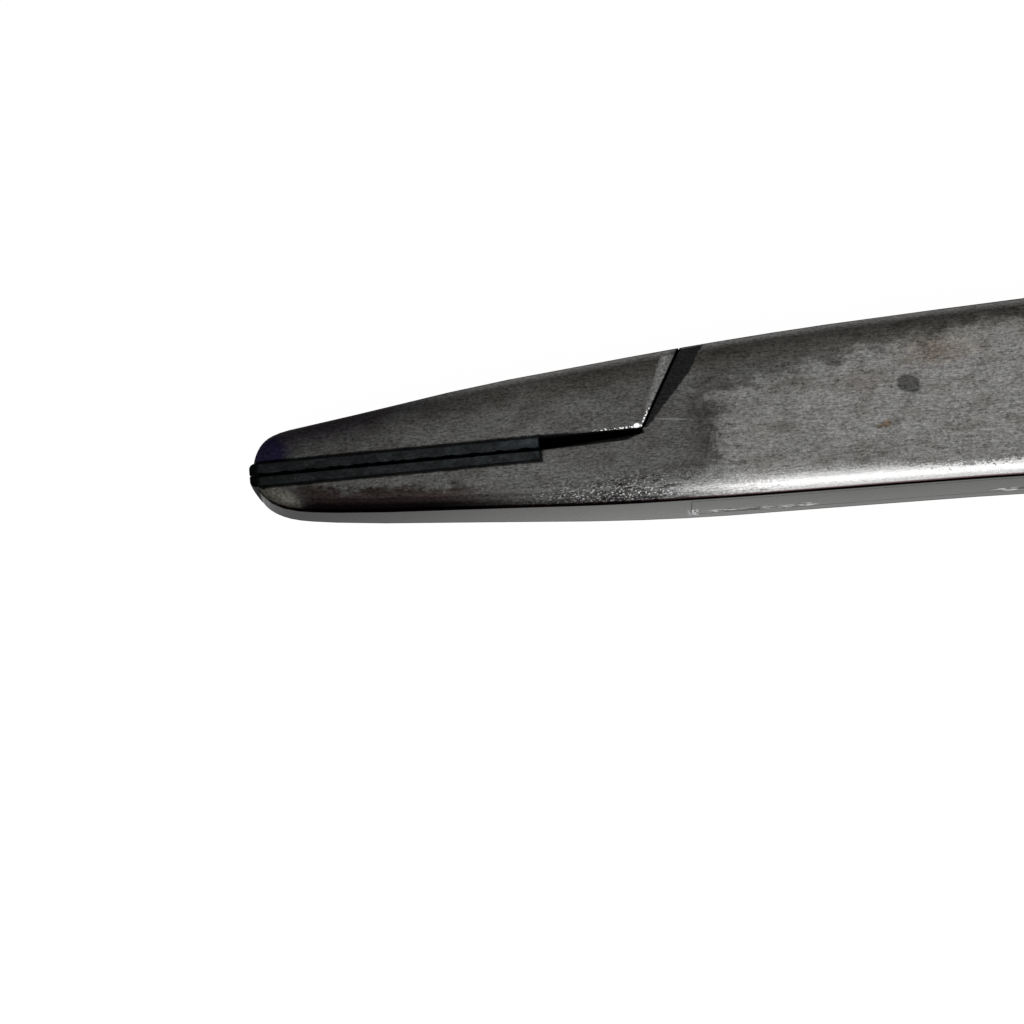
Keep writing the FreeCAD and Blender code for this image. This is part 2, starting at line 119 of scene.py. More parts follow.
# Noise cells per mm along x, y and z, and the shares of a noise's shift that go along each
GRAIN_CELLS = (5.5, 9.0, 9.0)
BRUSH_CELLS = (1.3, 26.0, 26.0)
FLECK_CELLS = (8.0, 11.0, 11.0)
PIT_CELLS = (3.2, 4.5, 4.5)
STREAK_CELLS = (1.6, 9.0, 9.0)
CLOUD_CELLS = (0.55, 1.0, 1.0)
HAZE_CELLS = (0.16, 0.3, 0.3)
RIPPLE_CELLS = (1.3, 1.6, 1.6)
CARBIDE_GRAIN_CELLS = (4.0, 7.0, 7.0)
CARBIDE_FLECK_CELLS = (5.0, 9.0, 9.0)
CARBIDE_BLOT_CELLS = (1.4, 2.2, 2.2)
SHIFT_SHARES = (1.0, 0.7, 0.4)

# Share of its width over which a line stays full
FULL_SHARE = 0.35


def px_to_mm(px, py, z=TOP):
    """Place in plan, in mm, of an image point on the level z."""
    a = (px - PIVOT_PX[0]) / PX_PER_MM
    b = (PIVOT_PX[1] - py) / PX_PER_MM
    x = a * math.cos(ROLL) + b * math.sin(ROLL)
    up = b * math.cos(ROLL) - a * math.sin(ROLL)
    y = (up - (z - TOP) * math.cos(ELEVATION)) / math.sin(ELEVATION)
    return x, y


def grey(level, tint=(1.0, 1.0, 1.0)):
    return (level * tint[0], level * tint[1], level * tint[2], 1.0)


class Tree:
    """Shorthand for building a material's nodes. Every helper returns an output socket."""

    def __init__(self, name):
        self.material = bpy.data.materials.new(name)
        self.material.use_nodes = True
        self.nodes = self.material.node_tree.nodes
        self.links = self.material.node_tree.links
        self.nodes.clear()
        coords = self.add("ShaderNodeTexCoord").outputs["Object"]
        scaled = self.add("ShaderNodeVectorMath", operation="SCALE")
        self.links.new(coords, scaled.inputs[0])
        scaled.inputs["Scale"].default_value = 1 / MM
        self.mm = scaled.outputs[0]
        parts = self.add("ShaderNodeSeparateXYZ")
        self.links.new(self.mm, parts.inputs[0])
        self.x, self.y, self.z = parts.outputs

    def add(self, kind, **settings):
        node = self.nodes.new(kind)
        for key, value in settings.items():
            setattr(node, key, value)
        return node

    def put(self, value, socket):
        """Sets a socket, from another socket or from a plain value."""
        if isinstance(value, bpy.types.NodeSocket):
            self.links.new(value, socket)
        else:
            socket.default_value = value

    def math(self, operation, a, b=0.0, c=0.0):
        node = self.add("ShaderNodeMath", operation=operation)
        for value, socket in zip((a, b, c), node.inputs):
            self.put(value, socket)
        return node.outputs[0]

    def chain(self, operation, values):
        total = values[0]
        for value in values[1:]:
            total = self.math(operation, total, value)
        return total

    def sum(self, *values):
        return self.chain("ADD", values)

    def product(self, *values):
        return self.chain("MULTIPLY", values)

    def most(self, *values):
        return self.chain("MAXIMUM", values)

    def minus(self, a, b):
        return self.math("SUBTRACT", a, b)

    def rest(self, share):
        """What is left of one."""
        return self.minus(1.0, share)

    def size(self, value):
        return self.math("ABSOLUTE", value)

    def sway(self, noise, reach=1.0):
        """Noise about nought instead of a half, times a reach."""
        return self.product(self.minus(noise, 0.5), reach)

    def line(self, a, b, c):
        """a * x + b * y + c."""
        return self.math("MULTIPLY_ADD", self.x, a, self.math("MULTIPLY_ADD", self.y, b, c))

    def curve(self, start, slope, bend):
        """start + slope * x + bend * x * x."""
        return self.sum(start, self.product(self.x, slope), self.product(self.x, self.x, bend))

    def ramp(self, value, low, high, out_low=0.0, out_high=1.0, smooth=True):
        """Maps low..high to out_low..out_high. low may be above high."""
        node = self.add("ShaderNodeMapRange", interpolation_type="SMOOTHSTEP" if smooth else "LINEAR")
        for item, socket in zip((value, low, high, out_low, out_high), node.inputs):
            self.put(item, socket)
        return node.outputs[0]

    def even(self, value, span):
        """A straight ramp over a span."""
        return self.ramp(value, *span, smooth=False)

    def near(self, value, width):
        """One where the value is nought, fading out at the width."""
        return self.ramp(self.size(value), width, width * FULL_SHARE)

    def noise(self, cells, detail=3.0, rough=0.55, shift=0.0):
        """Noise; cells holds its cells per mm along x, y and z."""
        mapping = self.add("ShaderNodeMapping")
        mapping.inputs["Location"].default_value = [shift * share for share in SHIFT_SHARES]
        mapping.inputs["Scale"].default_value = cells
        self.links.new(self.mm, mapping.inputs["Vector"])
        node = self.add("ShaderNodeTexNoise")
        self.links.new(mapping.outputs[0], node.inputs["Vector"])
        node.inputs["Scale"].default_value = 1.0
        node.inputs["Detail"].default_value = detail
        node.inputs["Roughness"].default_value = rough
        return node.outputs["Fac"]

    def mix(self, share, a, b, blend="MIX"):
        node = self.add("ShaderNodeMix", data_type="RGBA", blend_type=blend)
        self.put(share, node.inputs[0])
        self.put(a, node.inputs[6])
        self.put(b, node.inputs[7])
        return node.outputs[2]

    def tinted(self, level, tint):
        """Colour of a level, a socket or a plain value, with a tint."""
        node = self.add("ShaderNodeCombineColor")
        for share, socket in zip(tint, node.inputs):
            self.put(self.product(level, share), socket)
        return node.outputs[0]

    def scaled(self, colour, factor):
        node = self.add("ShaderNodeVectorMath", operation="SCALE")
        self.links.new(colour, node.inputs[0])
        self.put(factor, node.inputs["Scale"])
        return node.outputs[0]

    def tone(self, colour, share, factor):
        """Multiplies a colour by a factor, grey or tinted, where the share is one."""
        tint = grey(1.0, factor) if isinstance(factor, tuple) else grey(factor)
        return self.mix(share, colour, tint, "MULTIPLY")

    def above_seam(self):
        """Distance in mm above the line on which the jaws meet."""
        sine, cosine = math.sin(SEAM_LEAN), math.cos(SEAM_LEAN)
        return self.line(sine, cosine, -SEAM_X * sine - SEAM_Y * cosine)

    def past(self, x_start, lean):
        """Distance in x past a line over the upper jaw, which leans back from the insert's rear end."""
        y_start = SEAM_Y - (x_start - SEAM_X) * math.tan(SEAM_LEAN) + INSERT_BACK
        return self.line(1.0, -math.tan(lean), y_start * math.tan(lean) - x_start)

    def spot(self, mark, turn=0.0, wobble=0.0, soft=0.3):
        """One inside an ellipse at a mark of the photograph, with a wavy rim."""
        px, py, width, height = mark
        x, y = px_to_mm(px, py)
        turn = math.radians(turn) - ROLL
        c, s = math.cos(turn), math.sin(turn)
        a, b = width / PX_PER_MM / 2, height / PX_PER_MM / 2
        u = self.line(c / a, s / a, -(x * c + y * s) / a)
        v = self.line(-s / b, c / b, (x * s - y * c) / b)
        far = self.math("SQRT", self.sum(self.product(u, u), self.product(v, v)))
        if wobble:
            ripple = self.noise(RIPPLE_CELLS, detail=4, rough=0.65, shift=px * SHIFT_PER_PX)
            far = self.math("MULTIPLY_ADD", ripple, wobble * 2, self.minus(far, wobble))
        return self.ramp(far, 1 + soft, 1 - soft)

    def metal(self, colour, specular_tint, roughness, height, strength):
        """Ends the material as metal with a fine bump."""
        shader = self.add("ShaderNodeBsdfPrincipled")
        self.put(colour, shader.inputs["Base Color"])
        self.put(specular_tint, shader.inputs["Specular Tint"])
        shader.inputs["Metallic"].default_value = 1.0
        self.put(roughness, shader.inputs["Roughness"])
        bump = self.add("ShaderNodeBump")
        self.put(strength, bump.inputs["Strength"])
        bump.inputs["Distance"].default_value = BUMP_DEPTH
        self.put(height, bump.inputs["Height"])
        self.put(bump.outputs[0], shader.inputs["Normal"])
        return self.done(shader.outputs[0])

    def done(self, surface):
        output = self.add("ShaderNodeOutputMaterial")
        self.links.new(surface, output.inputs["Surface"])
        return self.material


def find_faces(t):
    """Shares that say which kind of face a point is on."""
    normal = t.add("ShaderNodeSeparateXYZ")
    t.links.new(t.add("ShaderNodeNewGeometry").outputs["Normal"], normal.inputs[0])
    upright = normal.outputs[2]
    t.facing = t.size(upright)
    t.flat = t.ramp(t.facing, *FLAT_FACE)
    t.side = t.ramp(t.facing, *SIDE_FACE)
    t.not_side = t.rest(t.side)
    t.flat_or_bend = t.ramp(t.facing, *FLAT_OR_BEND)
    t.steep = t.rest(t.flat_or_bend)
    t.top = t.product(t.flat, t.ramp(upright, *TOP_FACE))
    t.over = t.ramp(upright, *OVER_FACE)
    t.lower = t.ramp(t.y, *LOWER_HALF)
    t.marked = t.ramp(t.x, *MARKS_FADE)
    t.behind = t.ramp(t.x, *PLAIN_STEEL)


def find_places(t):
    """Distances in mm from the outline's edges and from the joint lines."""
    half = t.minus(MID, t.product(t.most(t.minus(SLOPE_START, t.x), 0.0), SLOPE))
    t.depth = t.minus(half, t.size(t.minus(t.z, MID)))
    t.below = t.minus(t.sum(half, MID), t.z)
    t.from_top = t.minus(t.curve(*UPPER_EDGE), t.y)
    t.from_low = t.sum(t.y, t.curve(*LOWER_EDGE))
    t.radius = t.math("SQRT", t.sum(t.product(t.x, t.x), t.product(t.y, t.y)))
    t.seam = t.above_seam()
    t.from_seam = t.size(t.seam)
    t.above = t.ramp(t.seam, *UPPER_JAW)
    t.past_joint = t.past(SHOULDER_X, SHOULDER_LEAN)
    t.past_box_facet = t.past(BOX_FACET_X, BOX_FACET_LEAN)
    t.past_jaw_facet = t.past(JAW_FACET_X, JAW_FACET_LEAN)


def make_noises(t):
    """Noises from fine to broad; brush and streak run along the part."""
    t.grain = t.noise(GRAIN_CELLS, detail=4, rough=0.75)
    t.brush = t.noise(BRUSH_CELLS, detail=3, rough=0.6)
    t.fleck = t.noise(FLECK_CELLS, detail=2, rough=0.5, shift=31.0)
    t.pit = t.noise(PIT_CELLS, detail=3, rough=0.6, shift=57.0)
    t.streak = t.noise(STREAK_CELLS, detail=3, rough=0.6, shift=44.0)
    t.cloud = t.noise(CLOUD_CELLS, detail=5, rough=0.62, shift=9.0)
    t.haze = t.noise(HAZE_CELLS, detail=3, rough=0.5, shift=80.0)


# Broad faces: levels along x, the paler zone on the box, and how noises spread the level
JAW_LEVEL = (-33.0, -18.5, 0.038, 0.092)
BOX_START = (-18.5, -14.0, 1.0, 0.88)
ZONE_LEVEL = 0.172
ZONE_FRONT = (-9.3, -7.5)
ZONE_TOP = (-9.0, 2.0, 2.9, 1.6)
ZONE_TOP_REAR = (2.0, 5.0, 1.0, 0.76)
ZONE_BORDER = (-0.45, 0.4)
ZONE_FRONT_CLOUD, ZONE_FRONT_PIT = 7.0, 2.5
ZONE_TOP_CLOUD = 3.0
UPPER_SHADE = (2.1, 0.7, 1.0, 0.5)
HAZE_SPREAD = (0.4, 0.58, 0.88, 1.04)
SPREAD = (0.35, 0.65, 0.92, 1.08)
BROWN_ACROSS = (2.0, 1.1)
BROWN_ALONG = (-30.0, -12.0)
CLOUDS = (0.5, 0.38)


def broad_faces(t):
    """Colour of the flat faces: dark towards the tips, with a paler, cooler zone on the box."""
    level = t.product(t.even(t.x, JAW_LEVEL), t.ramp(t.x, *BOX_START))
    limit = t.product(t.even(t.x, ZONE_TOP), t.ramp(t.x, *ZONE_TOP_REAR))
    along = t.sum(t.x, t.sway(t.cloud, ZONE_FRONT_CLOUD), t.sway(t.pit, ZONE_FRONT_PIT))
    across = t.minus(t.sum(t.from_top, t.sway(t.cloud, ZONE_TOP_CLOUD)), limit)
    zone = t.product(t.ramp(along, *ZONE_FRONT), t.ramp(across, *ZONE_BORDER))
    level = t.sum(t.product(level, t.rest(zone)), t.product(zone, ZONE_LEVEL))
    level = t.product(level, t.ramp(t.from_top, *UPPER_SHADE), t.ramp(t.haze, *HAZE_SPREAD),
                      t.even(t.cloud, SPREAD), t.even(t.pit, SPREAD))
    colour = t.tinted(level, FACE_TINT)
    brown = t.product(t.ramp(t.from_top, *BROWN_ACROSS), t.ramp(t.x, *BROWN_ALONG))
    colour = t.tone(colour, brown, BROWN_TONE)
    return t.tone(colour, t.ramp(t.cloud, *CLOUDS), CLOUD_TONE)


# Sides and rounded edges: levels along x and over the height, the rounded edges' dark level as painted
# shade, the painted highlight on the lower edge and the pale rim, a painted reflection
SIDE_LEVEL = (-31.0, -14.0, 0.05, 0.236)
SIDE_REAR = (-7.0, -1.0, 1.0, 0.88)
SIDE_FALL = (0.5, 4.6, 0.74, 1.2)
JITTER_GRAIN, JITTER_FLECK, JITTER_MIDDLE = 1.2, 1.1, 1.15
JITTER_ALONG = (-9.5, -3.5, 2.4, 1.0)
HIGHLIGHT_ALONG = (-13.8, -5.0)
HIGHLIGHT_OUTER = (-1.0, 4.5, 1.25, 0.64)
HIGHLIGHT_INNER = (-1.0, 4.5, 0.55, 0.5)
HIGHLIGHT_LEVEL = (0.5, 0.87, 0.62, 0.4)
HIGHLIGHT_FLAT = (0.87, 1.0, 0.0, 0.06)
SHADED_EDGE_LEVEL = (-30.0, -16.0, 0.018, 0.03)
RIM_REFLECTION_FACING = (0.96, 0.7)
RIM_REFLECTION_ALONG = (-26.0, -18.0)
RIM_REFLECTION_LEVEL = 0.1


def sides_and_edges(t, colour):
    """Painted highlight on the lower edge along the box; the upper one dark, painted shade, with a thin
    pale line, a painted reflection.
    """
    side_level = t.product(t.even(t.x, SIDE_LEVEL), t.ramp(t.x, *SIDE_REAR), t.even(t.below, SIDE_FALL))
    jitter = t.sum(t.product(t.grain, JITTER_GRAIN), t.product(t.fleck, JITTER_FLECK))
    jitter = t.minus(jitter, JITTER_MIDDLE)
    # Painted highlight: a bright band along the lower rounded edge, with a ragged inner border
    rough_line = t.sum(t.from_low, t.product(jitter, t.ramp(t.x, *JITTER_ALONG)))
    band = t.ramp(rough_line, t.ramp(t.x, *HIGHLIGHT_OUTER), t.ramp(t.x, *HIGHLIGHT_INNER))
    t.shine = t.product(t.ramp(t.x, *HIGHLIGHT_ALONG), t.lower, band)
    shine_level = t.sum(t.even(t.facing, HIGHLIGHT_LEVEL), t.even(t.facing, HIGHLIGHT_FLAT))
    # Rounded edges get a dark level, painted shade, and the upper one a pale line, a painted reflection
    rim = t.product(t.rest(t.lower), t.even(t.facing, RIM_REFLECTION_FACING), t.ramp(t.x, *RIM_REFLECTION_ALONG))
    shaded_edge_level = t.sum(t.ramp(t.x, *SHADED_EDGE_LEVEL), t.product(rim, RIM_REFLECTION_LEVEL))
    colour = t.mix(t.flat, t.tinted(shaded_edge_level, EDGE_TINT), colour)
    colour = t.mix(t.product(t.shine, t.not_side), colour, t.tinted(shine_level, HIGHLIGHT_TINT))
    colour = t.mix(t.side, colour, t.tinted(side_level, SIDE_TINT))
    plain = t.tinted(t.product(t.even(t.cloud, PLAIN_SPREAD), PLAIN_LEVEL), PLAIN_TINT)
    return t.mix(t.behind, colour, plain)


# Grain: how far it swings the level, and where it is weaker
GRAIN_REACH = 3.2
BRUSH_REACH = 1.7
LEAST_GAIN = 0.3
CALM_SIDE = 0.75
CALM_BEHIND = 0.6
CALM_HIGHLIGHT = (0.0, 1.0, 1.0, 0.6)
CALM_HIGHLIGHT_ALONG = (-8.0, 4.0)
CALM_CORE = (0.0, 1.0, 1.0, 0.3)
CALM_CORE_ALONG = (-8.5, -3.0)
CALM_CORE_ACROSS = (0.95, 0.65)
PITS = (0.64, 0.72)
PIT_TONE = 0.5
FLECKS = (0.7, 0.78)
FLECKS_ALONG = (-26.0, -16.0, 0.1, 0.3)
FLECK_LEVEL = 0.33


def grain_over(t, colour):
    """Grain over everything, weaker on the ground sides and on the painted highlight of the lower edge."""
    swing = t.rest(t.most(t.product(t.side, CALM_SIDE), t.product(t.behind, CALM_BEHIND)))
    bright = t.product(t.shine, t.ramp(t.x, *CALM_HIGHLIGHT_ALONG))
    core = t.product(t.shine, t.ramp(t.x, *CALM_CORE_ALONG), t.ramp(t.from_low, *CALM_CORE_ACROSS))
    swing = t.product(swing, t.ramp(bright, *CALM_HIGHLIGHT), t.ramp(core, *CALM_CORE))
    t.gain = t.sum(1.0, t.product(t.sway(t.grain), swing, GRAIN_REACH),
                   t.product(t.sway(t.brush), swing, BRUSH_REACH))
    colour = t.scaled(colour, t.most(t.gain, LEAST_GAIN))
    colour = t.tone(colour, t.product(t.flat, t.ramp(t.pit, *PITS)), PIT_TONE)
    flecks = t.product(t.flat, t.ramp(t.fleck, *FLECKS), t.ramp(t.x, *FLECKS_ALONG))
    return t.mix(flecks, colour, grey(FLECK_LEVEL))


# Painted glints above the painted highlight on the lower edge, where the box begins, and dark streaks
SPARKLE_ACROSS = (1.8, 0.8)
SPARKLE_FRONT = (-21.0, -12.5)
SPARKLE_REAR = (-3.0, -9.0)
SPARKLE_GRAIN = 0.4
SPARKLE_FLECKS = (0.74, 0.87)
SPARKLE_SHARE = 0.75
SPARKLE_LEVEL = 0.32
DARK_STREAKS = (0.5, 0.6)
DARK_STREAKS_ALONG = (-8.0, -12.0)
DARK_STREAK_TONE = 0.22


def painted_sparkle(t, colour):
    """Bright flecks, painted glints, and dark streaks before the painted highlight sets in."""
    border = t.product(t.lower, t.ramp(t.from_low, *SPARKLE_ACROSS), t.ramp(t.x, *SPARKLE_FRONT),
                       t.ramp(t.x, *SPARKLE_REAR), t.not_side)
    streaks = t.product(border, t.ramp(t.streak, *DARK_STREAKS), t.ramp(t.x, *DARK_STREAKS_ALONG))
    colour = t.tone(colour, streaks, DARK_STREAK_TONE)
    # The bright flecks are painted glints
    flecks = t.ramp(t.sum(t.fleck, t.product(t.grain, SPARKLE_GRAIN)), *SPARKLE_FLECKS)
    return t.mix(t.product(border, flecks, SPARKLE_SHARE), colour, grey(SPARKLE_LEVEL))


# Stains on the jaws, partly painted shade, and a painted highlight at the tip
BAND_REAR = (-17.5, -24.0)
BAND_FRONT = (-31.8, -29.5)
BAND_CLOUD = 1.6
BAND_ACROSS = (1.35, 0.8)
BAND_CORE = (0.45, 0.2)
BAND_CORE_STAIN_AND_SHADE_TONE = 0.3
BLUE_LEVEL = 0.009
PALE_HIGHLIGHT_LEVEL = 0.06
PALE_HIGHLIGHT_SHARE = 0.8


def jaw_stains(t, colour):
    """A dark red-brown band over the lower crease, a stain darkened as painted shade, a blue spot and a
    pale spot at the tip, the pale one a painted highlight, and a purple edge.
    """
    # The red-brown band is a stain, and its darkness is partly painted shade
    ragged = t.sum(t.from_low, t.sway(t.cloud, BAND_CLOUD), t.sway(t.pit))
    band = t.product(t.lower, t.not_side, t.ramp(t.x, *BAND_REAR), t.ramp(t.x, *BAND_FRONT))
    colour = t.tone(colour, t.product(band, t.ramp(ragged, *BAND_ACROSS)), BAND_STAIN_AND_SHADE_TONE)
    colour = t.tone(colour, t.product(band, t.ramp(t.from_low, *BAND_CORE)), BAND_CORE_STAIN_AND_SHADE_TONE)
    blue = t.product(t.over, t.spot(BLUE_TIP, turn=35, wobble=0.6, soft=0.55))
    colour = t.mix(blue, colour, t.scaled(t.tinted(BLUE_LEVEL, BLUE_TINT), t.gain))
    purple = t.product(t.over, t.spot(PURPLE_BAND, turn=13, wobble=0.5, soft=0.6))
    colour = t.tone(colour, purple, PURPLE_TONE)
    # The pale spot is a painted highlight where the rounded nose catches the light
    pale_highlight = t.product(t.over, t.spot(PALE_TIP_HIGHLIGHT, turn=-24, wobble=0.5, soft=0.55))
    return t.mix(t.product(pale_highlight, PALE_HIGHLIGHT_SHARE), colour, t.scaled(t.tinted(PALE_HIGHLIGHT_LEVEL, PALE_HIGHLIGHT_TINT), t.gain))


# Marks on the box: turn in degrees, waviness and softness of the rim, and tone
BOX_MARKS = (
    (GREY_DOT, -15, 0.45, 0.2, 0.36),
    (DOT_CLOUD, 5, 0.9, 0.6, (0.78, 0.75, 0.72)),
    (BROWN_SPOT, 35, 0.5, 0.3, (0.8, 0.6, 0.45)),
    (BROWN_SPECK, 20, 0.4, 0.3, (0.7, 0.6, 0.5)),
    (TAN_CLOUD, 5, 1.0, 0.7, (0.86, 0.78, 0.7)),
    (DARK_CLOUD, -10, 1.0, 0.9, (0.72, 0.7, 0.68)),
    (LEFT_STREAK, -12, 0.6, 0.6, 0.66),
    (RIGHT_STREAK, 4, 0.6, 0.6, 0.72),
)
SCRATCH_SHARE = 0.45
SCRATCH_LEVEL = 0.22


def box_marks(t, colour):
    """Grey dot, brown spots, clouds, fine streaks and one pale scratch on the upper face of the box."""
    for mark, turn, wobble, soft, factor in BOX_MARKS:
        colour = t.tone(colour, t.product(t.top, t.spot(mark, turn, wobble, soft)), factor)
    scratch = t.product(t.top, t.spot(SCRATCH, turn=-1, soft=0.6), SCRATCH_SHARE)
    return t.mix(scratch, colour, grey(SCRATCH_LEVEL))


# Ground facets beside the joint line: the jaw's pale, a painted highlight, the box's dark, painted shade
JAW_FACET_EDGE = (-0.04, 0.1)
JAW_FACET_TOP = (0.28, 0.5)
JAW_FACET_CLOUD = 0.5
JAW_FACET_FLECKS = (0.36, 0.6, 0.5, 1.0)
JAW_FACET_HIGHLIGHT_LEVEL = (0.0, 3.0, 0.13, 0.14)
BEFORE_JOINT = (0.03, 0.0)
BEHIND_JOINT = (0.0, 0.03)
BOX_FACET_EDGE = (0.05, -0.05)
BOX_FACET_WIDER = (2.3, 3.8, 0.0, 0.38)
BOX_FACET_PIT = 0.3
BOX_FACET_SHADE_LEVEL = 0.0125
LEAST_FACET_GAIN = 0.5


def joint_facets(t, colour):
    """A pale facet on the jaw, a painted highlight, and a dark one on the box, painted shade."""
    gain = t.most(t.gain, LEAST_FACET_GAIN)
    uneven_top = t.sum(t.from_top, t.sway(t.cloud, JAW_FACET_CLOUD))
    share = t.product(t.above, t.flat_or_bend, t.ramp(t.past_jaw_facet, *JAW_FACET_EDGE),
                      t.ramp(t.past_joint, *BEFORE_JOINT), t.ramp(uneven_top, *JAW_FACET_TOP),
                      t.ramp(t.fleck, *JAW_FACET_FLECKS))
    pale_highlight = t.tinted(t.ramp(t.y, *JAW_FACET_HIGHLIGHT_LEVEL), JAW_FACET_HIGHLIGHT_TINT)
    colour = t.mix(share, colour, t.scaled(pale_highlight, gain))
    facet_edge = t.sum(t.past_box_facet, t.ramp(t.y, *BOX_FACET_WIDER), t.sway(t.pit, BOX_FACET_PIT))
    share = t.product(t.above, t.ramp(facet_edge, *BOX_FACET_EDGE), t.ramp(t.past_joint, *BEHIND_JOINT),
                      t.flat_or_bend)
    return t.mix(share, colour, t.scaled(t.tinted(BOX_FACET_SHADE_LEVEL, BOX_FACET_SHADE_TINT), gain))


# Painted shade in the crease, joint lines at the inserts and the rivet's outline
CREASE_INNER = (CREASE_DEPTH - 0.12, CREASE_DEPTH - 0.03)
CREASE_OUTER = (CREASE_DEPTH + 0.15, CREASE_DEPTH - 0.02)
CREASE_WIDER = (2.5, 2.0, 0.0, 0.42)
POCKET_ACROSS = (INSERT_BACK + 0.17, INSERT_BACK + 0.07)
POCKET_ALONG = (INSERT_REAR + 0.2, INSERT_REAR + 0.05)
POCKET_PIT = 0.12
POCKET_TONE = 0.08
RIVET_LINE = 0.09
RIVET_SHARE = 0.25
RIVET_TONE = 0.6


def creases(t, colour):
    """Painted shade in the crease between rounded edge and side, lines round the inserts, and the faint
    rivet.
    """
    reach = t.minus(t.depth, t.ramp(t.below, *CREASE_WIDER))
    t.crease = t.product(t.ramp(t.depth, *CREASE_INNER), t.ramp(reach, *CREASE_OUTER), t.rest(t.flat),
                         t.marked)
    colour = t.tone(colour, t.crease, CREASE_SHADE_TONE)
    uneven_seam = t.sum(t.from_seam, t.sway(t.pit, POCKET_PIT))
    pocket = t.product(t.flat_or_bend, t.ramp(uneven_seam, *POCKET_ACROSS), t.ramp(t.x, *POCKET_ALONG))
    colour = t.tone(colour, pocket, POCKET_TONE)
    ring = t.product(t.flat, t.near(t.minus(t.radius, RIVET_RADIUS), RIVET_LINE))
    return t.tone(colour, t.product(ring, RIVET_SHARE), RIVET_TONE)


# Nicks along the lower joint line on the near side, dark ones and white ones that are painted glints, and a
# hook-shaped one at its front end
NICK_LEVEL, NICK_WIDTH = WALL + 0.38, 0.46
NICKS_FRONT = (-9.6, -9.0)
NICKS_MID = (-3.4, -4.2)
NICKS_AGAIN = (5.2, 5.8)
NICKS_REAR = (11.0, 9.0)
DARK_NICKS = (0.49, 0.44)
DARK_NICK_TONE = 0.3
NICK_GLINTS = (0.53, 0.57)
HOOK_X, HOOK_WIDTH = -10.15, 0.4
HOOK_LOW = (1.0, 1.2)
HOOK_HIGH = (2.4, 2.2)
HOOK_TONE = 0.2
HOOK_GLINTS = (0.47, 0.53)


def nicks_and_glints(t, colour):
    """Dark nicks and painted glints on the near side."""
    near_side = t.product(t.side, t.lower)
    window = t.product(t.ramp(t.x, *NICKS_FRONT), t.ramp(t.x, *NICKS_MID))
    window = t.product(t.most(window, t.ramp(t.x, *NICKS_AGAIN)), t.ramp(t.x, *NICKS_REAR))
    line = t.product(near_side, t.near(t.minus(t.z, NICK_LEVEL), NICK_WIDTH), window)
    colour = t.tone(colour, t.product(line, t.ramp(t.streak, *DARK_NICKS)), DARK_NICK_TONE)
    # White dashes along the line are painted glints
    colour = t.mix(t.product(line, t.ramp(t.streak, *NICK_GLINTS)), colour, grey(1.0))
    hook = t.product(near_side, t.ramp(t.z, *HOOK_LOW), t.ramp(t.z, *HOOK_HIGH),
                     t.near(t.minus(t.x, HOOK_X), HOOK_WIDTH))
    colour = t.tone(colour, hook, HOOK_TONE)
    # The hook's white flecks are painted glints
    return t.mix(t.product(hook, t.ramp(t.fleck, *HOOK_GLINTS)), colour, grey(1.0))


# Painted shade beside the relief: a soft shadow, and black fringes that widen the gap
SHADOW_LOW = (-0.45, 0.15)
SHADOW_HIGH = (0.6, 0.5)
SHADOW_REAR = (-13.5, -16.5)
SHADOW_FRONT = (-17.9, -17.7)
FRINGE_EDGE = (-17.5, -13.6, -0.12, -0.015)
FRINGE_EDGE_REAR = (-13.6, -12.3, 0.0, 0.3)
FRINGE_LOW = (-0.04, 0.05)
FRINGE_HIGH = (0.55, 0.5)
FRINGE_REAR = (-12.3, -12.45)
JAW_FRINGE = (INSERT_BACK + 0.12, INSERT_BACK + 0.04)
JAW_FRINGE_REAR = (-14.8, -17.0)
FRINGE_FRONT = (INSERT_REAR, INSERT_REAR + 0.1)
SHADE_FRINGE_TONE = 0.07


def gap_shade(t, colour):
    """Painted shade on the faces beside the relief: a soft shadow and black fringes."""
    painted_shadow = t.product(t.flat, t.ramp(t.seam, *SHADOW_LOW), t.ramp(t.seam, *SHADOW_HIGH),
                      t.ramp(t.x, *SHADOW_REAR), t.ramp(t.x, *SHADOW_FRONT))
    colour = t.tone(colour, painted_shadow, SHADOW_TONE)
    edge = t.sum(t.even(t.x, FRINGE_EDGE), t.ramp(t.x, *FRINGE_EDGE_REAR))
    below = t.product(t.ramp(t.minus(t.seam, edge), *FRINGE_LOW), t.ramp(t.seam, *FRINGE_HIGH),
                      t.ramp(t.x, *FRINGE_REAR))
    over = t.product(t.above, t.ramp(t.seam, *JAW_FRINGE), t.ramp(t.x, *JAW_FRINGE_REAR))
    shade_fringe = t.product(t.most(below, over), t.flat_or_bend, t.ramp(t.x, *FRINGE_FRONT))
    return t.tone(colour, shade_fringe, SHADE_FRINGE_TONE)


# Painted shade inside the joints
CREVICE_DEPTH = (0.95, 1.15)
CREVICE_FACING = (0.4, 0.6)
CREVICE_ALONG = (-10.0, -11.0)
CREVICE_ACROSS = (1.3, 1.1)
RELIEF_REAR = (-11.2, -11.7)
RELIEF_FRONT = (-32.0, -30.0)
RELIEF_ACROSS = (0.95, 0.85)
JOINT_WIDTH = 0.2
LIP_OFFSET, LIP_WIDTH = 0.05, 0.15


